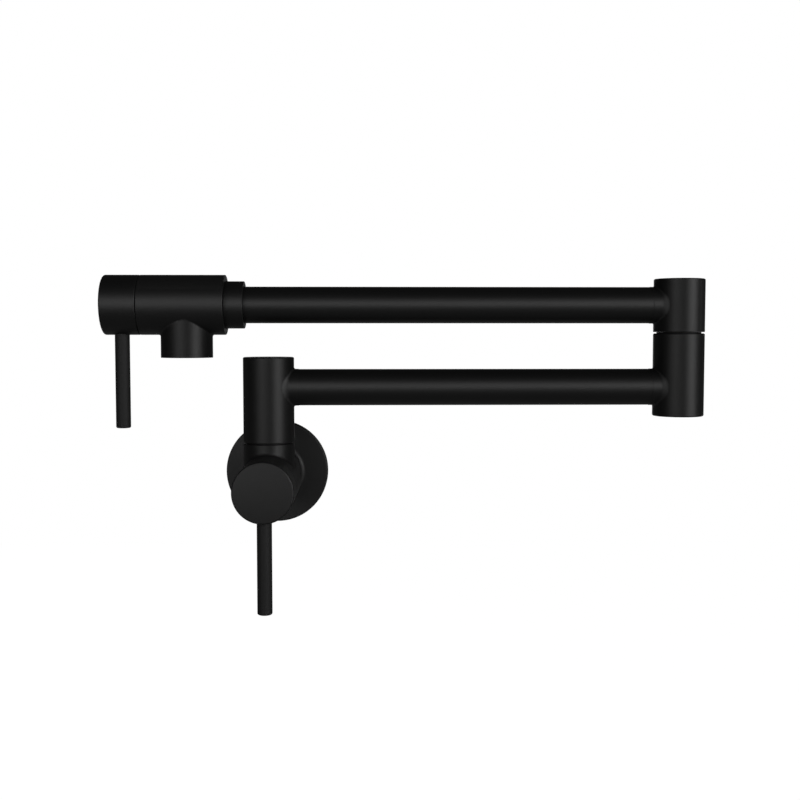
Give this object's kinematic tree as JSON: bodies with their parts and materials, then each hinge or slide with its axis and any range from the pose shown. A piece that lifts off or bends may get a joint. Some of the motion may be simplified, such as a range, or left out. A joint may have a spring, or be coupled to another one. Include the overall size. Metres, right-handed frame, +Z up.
{
  "type": "wall mounted pot filler",
  "caption": "Wall mounted pot filler tap: round wall flange, double-jointed arms that fold along the wall on swivel hubs, and a lever valve at the wall and at the spout.",
  "frame": {"origin": "centre of the wall flange's back face, on the wall", "axes": "+Z up, +Y into the wall and -Y out of it towards the room, +X to the right of a viewer who faces the wall, along the folded arms"},
  "size_m": [0.3641, 0.1327, 0.1984],
  "materials": {
    "matte_black": "matte black baked coating on brass, slightly satin",
    "brass": "turned, uncoated",
    "steel": "plain stainless",
    "rubber": "matt",
    "ceramic": "lapped",
    "plastic": "smooth moulded black acetal"
  },
  "bodies": {
    "wall_mount": {"wall_flange": "matte_black", "flange_gasket": "rubber", "inlet_shank": "brass", "inlet_washer": "rubber", "main_valve_body": "matte_black", "main_cartridge_seal": "rubber", "main_fixed_disc": "ceramic", "main_cartridge_housing": "brass", "main_cartridge_nut": "brass", "wall_post": "brass", "wall_thrust_washer": "plastic", "wall_o_ring_lower": "rubber", "wall_o_ring_upper": "rubber", "wall_retaining_clip": "steel"},
    "main_handle": {"main_knob": "matte_black", "main_lever": "matte_black", "main_knob_set_screw": "steel", "main_spindle": "brass", "main_spindle_o_ring": "rubber", "main_spindle_clip": "steel", "main_moving_disc": "ceramic"},
    "lower_arm": {"wall_column_hub": "matte_black", "wall_column_cap": "matte_black", "lower_arm_tube": "matte_black", "lower_elbow_hub": "matte_black", "lower_elbow_plug": "matte_black", "elbow_post": "brass", "elbow_thrust_washer": "plastic", "elbow_o_ring_lower": "rubber", "elbow_o_ring_upper": "rubber", "elbow_retaining_clip": "steel"},
    "upper_arm": {"upper_elbow_hub": "matte_black", "upper_elbow_cap": "matte_black", "upper_arm_tube": "matte_black", "spout_collar": "matte_black", "spout_valve_body": "matte_black", "aerator_housing": "brass", "aerator_insert": "plastic", "aerator_washer": "rubber", "spout_cartridge_seal": "rubber", "spout_fixed_disc": "ceramic", "spout_cartridge_housing": "brass", "spout_cartridge_nut": "brass"},
    "spout_handle": {"spout_knob": "matte_black", "spout_lever": "matte_black", "spout_knob_set_screw": "steel", "spout_spindle": "brass", "spout_spindle_o_ring": "rubber", "spout_spindle_clip": "steel", "spout_moving_disc": "ceramic"}
  },
  "joints": [
    {"name": "main_valve_turn", "type": "hinge", "parent": "wall_mount", "child": "main_handle", "pos_m": [0, -0.0997, 0], "axis": [0, -1, 0], "range_deg": [0, 90]},
    {"name": "wall_swivel", "type": "hinge", "parent": "wall_mount", "child": "lower_arm", "pos_m": [0, -0.065, 0.0584], "axis": [0, 0, 1], "range_deg": [-180, 0]},
    {"name": "elbow_swivel", "type": "hinge", "parent": "lower_arm", "child": "upper_arm", "pos_m": [0.25, -0.065, 0.1081], "axis": [0, 0, 1], "continuous": true},
    {"name": "spout_valve_turn", "type": "hinge", "parent": "upper_arm", "child": "spout_handle", "pos_m": [-0.08769, -0.065, 0.1081], "axis": [-1, 0, 0], "range_deg": [0, 90]}
  ]
}
